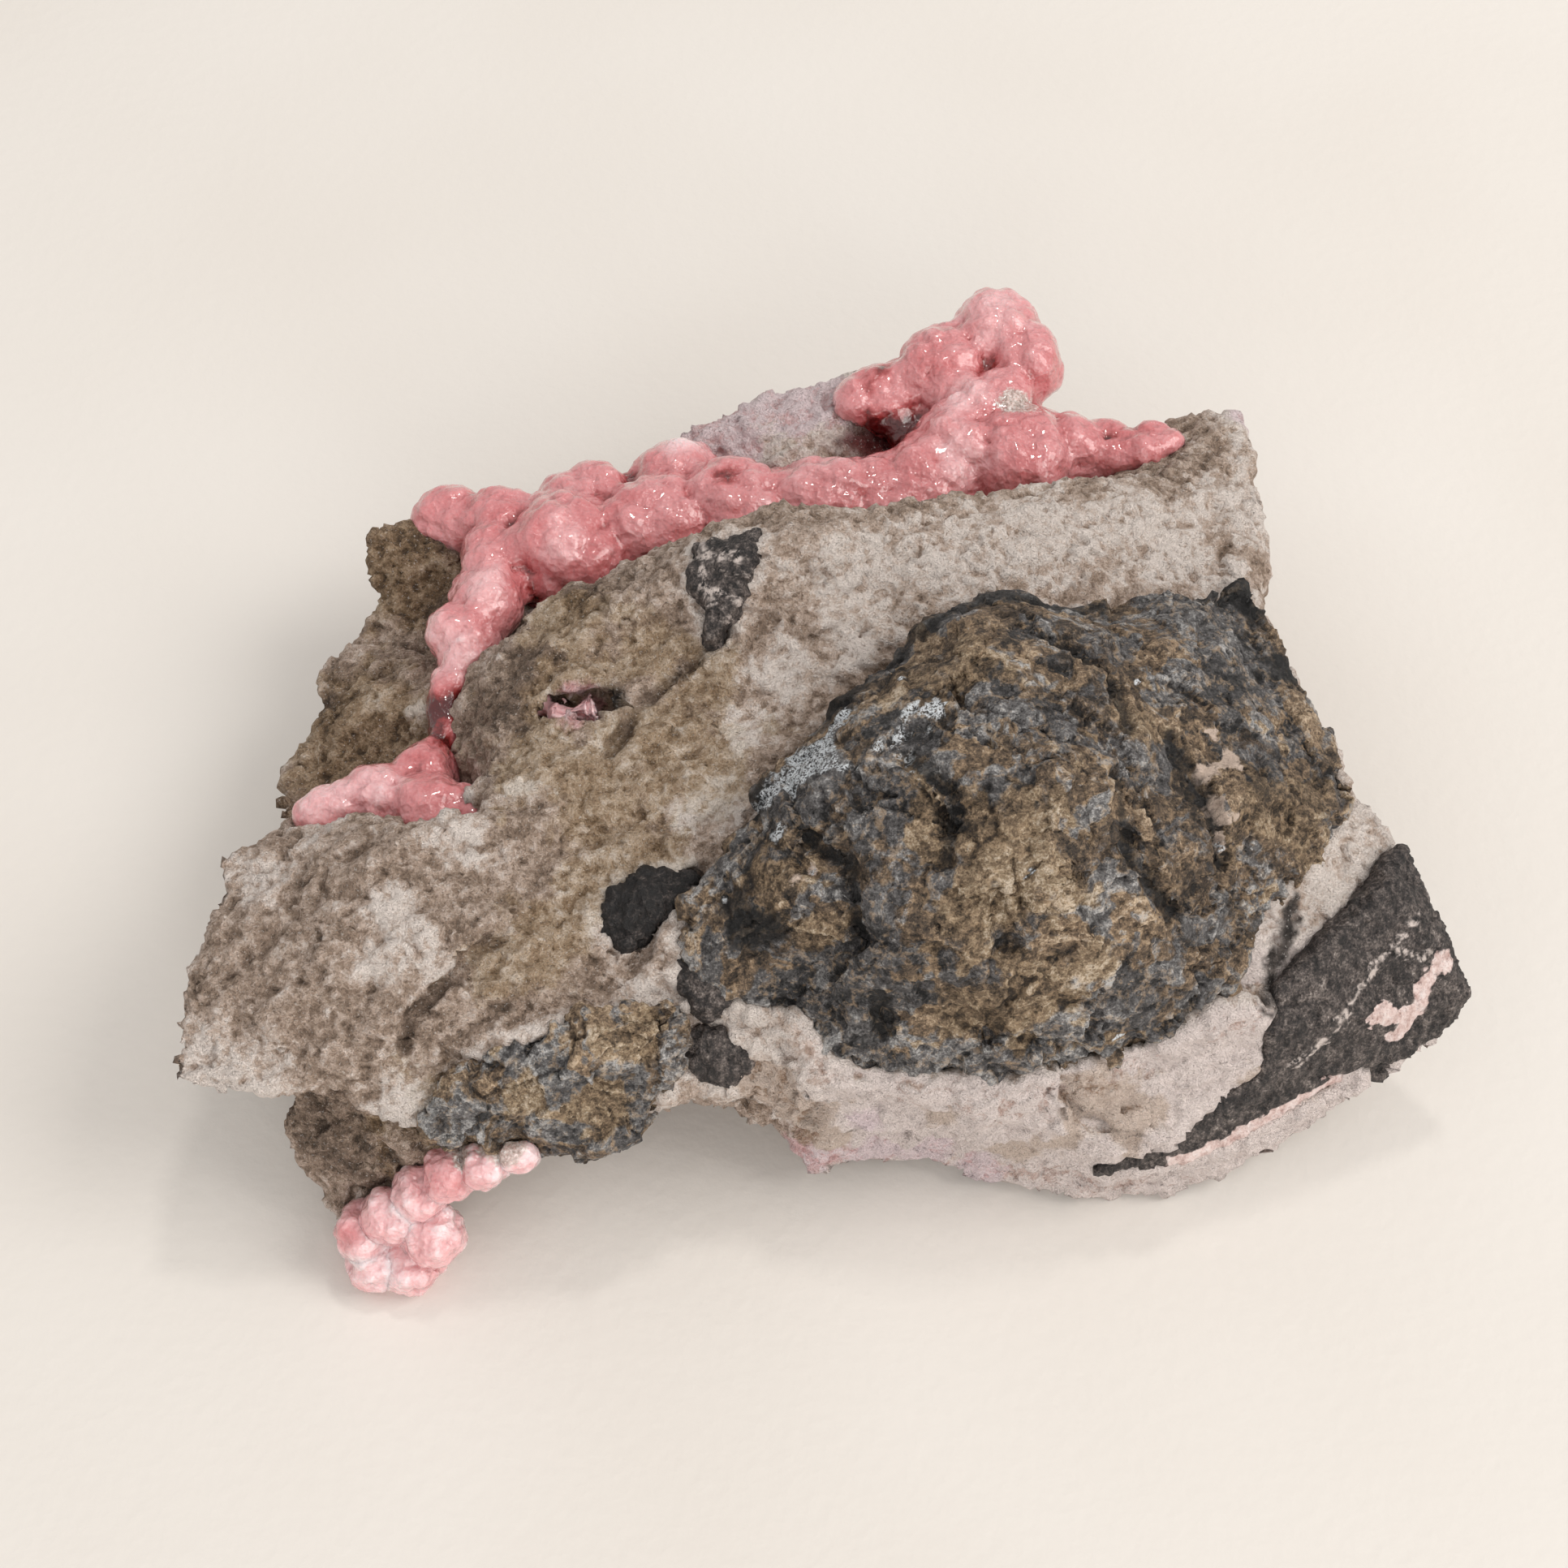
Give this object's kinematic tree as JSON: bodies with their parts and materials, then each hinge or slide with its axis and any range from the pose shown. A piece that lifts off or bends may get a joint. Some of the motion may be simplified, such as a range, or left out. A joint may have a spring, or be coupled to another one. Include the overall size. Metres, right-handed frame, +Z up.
{
  "type": "rhodochrosite specimen",
  "caption": "Broken hand specimen of pale vein rock holding dark weathered wall-rock fragments, with pink botryoidal rhodochrosite lining its open pockets.",
  "frame": {"origin": "on the resting plane, under the middle of the bounding box", "axes": "+X along the longest side, from the thin left wing to the slate wedge; +Y from the broken front to the pink back pocket; +Z up, out of the resting plane"},
  "size_m": [0.066, 0.056, 0.0241],
  "materials": {
    "vein_rock": "matt, granular, pinkish grey to ochre broken vein rock",
    "wall_rock": "matt to satin, dark brown and slate-blue weathered rock",
    "slate": "matt, near-black fine-grained rock",
    "rhodochrosite": "glossy, slightly translucent pink botryoidal crystal crust"
  },
  "bodies": {
    "root": {"vein_rock": "vein_rock", "wall_rock_dome": "wall_rock", "wall_rock_tongue": "wall_rock", "slate_wedge": "slate", "slate_tip_chip": "slate", "wall_rock_chip_left": "slate", "wall_rock_chip_back": "slate", "wall_rock_chip_front": "slate", "wall_rock_chip_low": "slate", "rhodochrosite_pockets": "rhodochrosite", "rhodochrosite_lower_cluster": "rhodochrosite", "rhodochrosite_small_vug": "rhodochrosite"}
  },
  "joints": []
}
